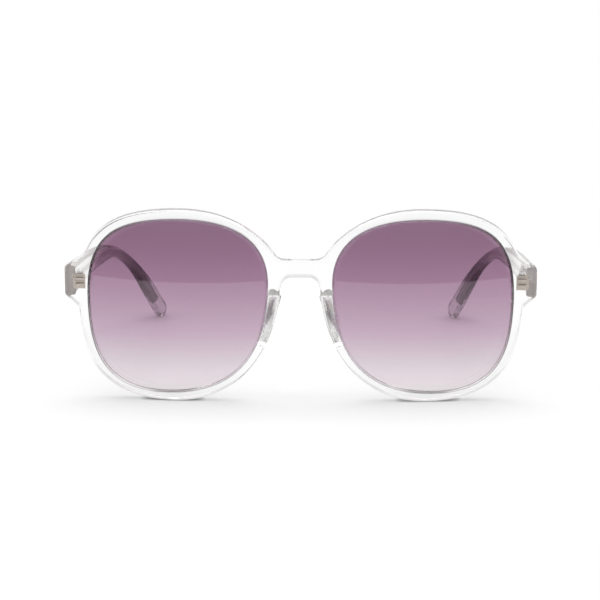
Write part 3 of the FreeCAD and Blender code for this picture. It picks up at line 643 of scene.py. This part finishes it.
# %% Seat the sunk pieces in their beds
BED_ROOM = 0.00008
WIRE_BED_ROOM = 0.00014
FREE_RADIUS = 0.00145
SUNK_PIECES = ("core_wire", "front_hinge", "temple_hinge", "nose_pad")

for node_name, solid in nodes.items():
    if node_name.startswith(SUNK_PIECES):
        swell = solid.modifiers.new("swell into bed", "NODES")
        swell.node_group = swell_group
        swell[room_input] = WIRE_BED_ROOM if node_name.startswith("core_wire") else BED_ROOM
        if "hinge" in node_name:
            side = node_name.rsplit("_", 1)[1]
            low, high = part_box("hinge_screw_" + side)
            screw_middle = (Vector(low) + Vector(high)) / 2
            swell[axis_input] = tuple(solid.matrix_world.inverted() @ screw_middle)
            swell[radius_input] = FREE_RADIUS
        print("seated", node_name)

# %% [markdown]
# ## The table's white
# Close to the object part of the table's white is matt and takes the soft shadow, and ambient
# occlusion over about a millimetre adds the thin dark line where the rims touch. The tips lie
# flatter on the table and shade a wider spot, so the reach grows towards the back. Further out the
# table fades to pure white for the rays that show a background. Stronger lamps could make it white
# too, but they would bleach the object as well.

# %% Finish: white table
PAPER = (0.90, 0.90, 0.90, 1)
MOTTLED_PAPER = (0.915, 0.915, 0.912, 1)
MOTTLE_SCALE = 35.0
CONTACT_REACH = 0.0013
TIP_CONTACT_REACH = 0.009
TIP_ZONE_FROM = 0.0
TIP_ZONE_TO = 0.03
CONTACT_RAYS = 16
SHADOW_LIFT = 0.45
FADE_FROM = 0.12
FADE_TO = 0.30


def table_finish():
    """Matt paper near the object, pure white far away, dark only where something touches."""
    material = bpy.data.materials.new("white table")
    material.use_nodes = True
    tree = material.node_tree
    tree.nodes.clear()
    place = add_node(tree, "ShaderNodeTexCoord").outputs["Object"]
    mottle = add_node(tree, "ShaderNodeTexNoise", {
        "Vector": place, "Scale": MOTTLE_SCALE, "Detail": 2.0,
    })
    paper = mix_colours(tree, mottle.outputs["Fac"], PAPER, MOTTLED_PAPER)
    matt = add_node(tree, "ShaderNodeBsdfDiffuse", {"Color": paper})
    along = add_node(tree, "ShaderNodeSeparateXYZ", {"Vector": place})
    reach = add_node(tree, "ShaderNodeMapRange", {
        "Value": along.outputs["Y"], "From Min": TIP_ZONE_FROM, "From Max": TIP_ZONE_TO,
        "To Min": CONTACT_REACH, "To Max": TIP_CONTACT_REACH,
    })
    contact = add_node(tree, "ShaderNodeAmbientOcclusion", {
        "Distance": reach.outputs["Result"],
    }, samples=CONTACT_RAYS)
    white = add_node(tree, "ShaderNodeEmission", {
        "Color": contact.outputs["Color"], "Strength": 1.0,
    })
    distance = add_node(tree, "ShaderNodeVectorMath", {0: place}, operation="LENGTH")
    far = add_node(tree, "ShaderNodeMapRange", {
        "Value": distance.outputs["Value"], "From Min": FADE_FROM, "From Max": FADE_TO,
        "To Min": SHADOW_LIFT, "To Max": 1.0,
    }, interpolation_type="SMOOTHSTEP")
    path = add_node(tree, "ShaderNodeLightPath").outputs
    seen = calculate(tree, "MAXIMUM", path["Is Camera Ray"], path["Is Glossy Ray"])
    shown = calculate(tree, "MAXIMUM", seen, path["Is Transmission Ray"])
    fade = calculate(tree, "MULTIPLY", far.outputs["Result"], shown)
    mixed = add_node(tree, "ShaderNodeMixShader", {
        0: fade, 1: matt.outputs["BSDF"], 2: white.outputs["Emission"],
    })
    add_node(tree, "ShaderNodeOutputMaterial", {"Surface": mixed.outputs["Shader"]})
    return material


white_table = table_finish()
print("finish:", white_table.name)

# %% [markdown]
# ## The table
# The photograph has a white floor that ends well behind the photographer, where the darker room
# begins: its mirror image is the step in the middle of each lens. A white plane to the horizon
# would lose that step. So the floor is a real plane with a real front edge.

# %% Table
TABLE_FRONT = -1.6
TABLE_BACK = 3.0
TABLE_SIDE = 2.0

table_corners = [
    (-TABLE_SIDE, TABLE_FRONT, 0), (TABLE_SIDE, TABLE_FRONT, 0),
    (TABLE_SIDE, TABLE_BACK, 0), (-TABLE_SIDE, TABLE_BACK, 0),
]
table_mesh = bpy.data.meshes.new("table")
table_mesh.from_pydata(table_corners, [], [(0, 1, 2, 3)])
table = bpy.data.objects.new("table", table_mesh)
table.data.materials.append(white_table)
bpy.context.scene.collection.objects.link(table)
print("table ends at", TABLE_FRONT, "m")

# %% [markdown]
# ## The room
# Above the object the room is white, behind it and at the sides a pale grey, and behind the
# photographer it is dark. One flat white world would light the object too, but clear plastic would
# then have nothing to mirror and its edges would disappear. So what the lenses and rims mirror or
# bend into view depends on its height and its side, and matt surfaces get most of their light from
# above.

# %% World
BACK_GREY = 0.82
OPEN_GREY = 0.8
CAMERA_SIDE_GREY = 0.05
BACK_WALL_Y = 0.4
CAMERA_WALL_Y = -0.6
WALL_TOP = 0.2
CEILING_START = 0.7
SOFT_LIGHT_LOW = 0.15
SOFT_LIGHT_HIGH = 0.9


def build_world():
    """White for the camera, a room for mirrors and clear material, soft light for the rest."""
    world = bpy.data.worlds.new("studio")
    world.use_nodes = True
    tree = world.node_tree
    tree.nodes.clear()
    place = add_node(tree, "ShaderNodeTexCoord")
    direction = add_node(tree, "ShaderNodeSeparateXYZ", {"Vector": place.outputs["Generated"]})
    path = add_node(tree, "ShaderNodeLightPath").outputs
    camera_side = add_node(tree, "ShaderNodeMapRange", {
        "Value": path["Is Glossy Ray"], "To Min": OPEN_GREY, "To Max": CAMERA_SIDE_GREY,
    })
    walls = add_node(tree, "ShaderNodeMapRange", {
        "Value": direction.outputs["Y"], "From Min": BACK_WALL_Y, "From Max": CAMERA_WALL_Y,
        "To Min": BACK_GREY, "To Max": camera_side.outputs["Result"],
    }, interpolation_type="SMOOTHSTEP")
    ceiling = add_node(tree, "ShaderNodeMapRange", {
        "Value": direction.outputs["Z"], "From Min": WALL_TOP, "From Max": CEILING_START,
    }, interpolation_type="SMOOTHSTEP")
    surroundings = mix_numbers(tree, ceiling.outputs["Result"], walls.outputs["Result"], 1.0)
    soft_light = add_node(tree, "ShaderNodeMapRange", {
        "Value": ceiling.outputs["Result"], "To Min": SOFT_LIGHT_LOW, "To Max": SOFT_LIGHT_HIGH,
    })
    mirror = calculate(tree, "MAXIMUM", path["Is Glossy Ray"], path["Is Transmission Ray"])
    room = mix_numbers(tree, mirror, soft_light.outputs["Result"], surroundings)
    white = add_node(tree, "ShaderNodeBackground", {
        "Color": (1, 1, 1, 1), "Strength": mix_numbers(tree, path["Is Camera Ray"], room, 1.0),
    })
    add_node(tree, "ShaderNodeOutputWorld", {"Surface": white.outputs["Background"]})
    return world


bpy.context.scene.world = build_world()
print("world:", bpy.context.scene.world.name)

# %% [markdown]
# ## The lamp
# A soft shadow hugs the rims in the photograph, so the main light was large and overhead. A sun
# lamp would draw the shadow's edge too sharply. One broad rectangle above and a little behind the
# object, tipped slightly away from the camera, leaves it soft.

# %% Overhead lamp
LAMP_WATTS = 16.0
LAMP_WIDTH = 2.0
LAMP_DEPTH = 1.2
LAMP_PLACE = (0.0, 0.25, 1.5)
LAMP_TIP = math.radians(8.0)

overhead = bpy.data.objects.new("overhead lamp", bpy.data.lights.new("overhead lamp", "AREA"))
overhead.data.shape = "RECTANGLE"
overhead.data.size = LAMP_WIDTH
overhead.data.size_y = LAMP_DEPTH
overhead.data.energy = LAMP_WATTS
overhead.location = LAMP_PLACE
overhead.rotation_euler = (LAMP_TIP, 0.0, 0.0)
bpy.context.scene.collection.objects.link(overhead)
print("lamp:", overhead.data.energy, "W")
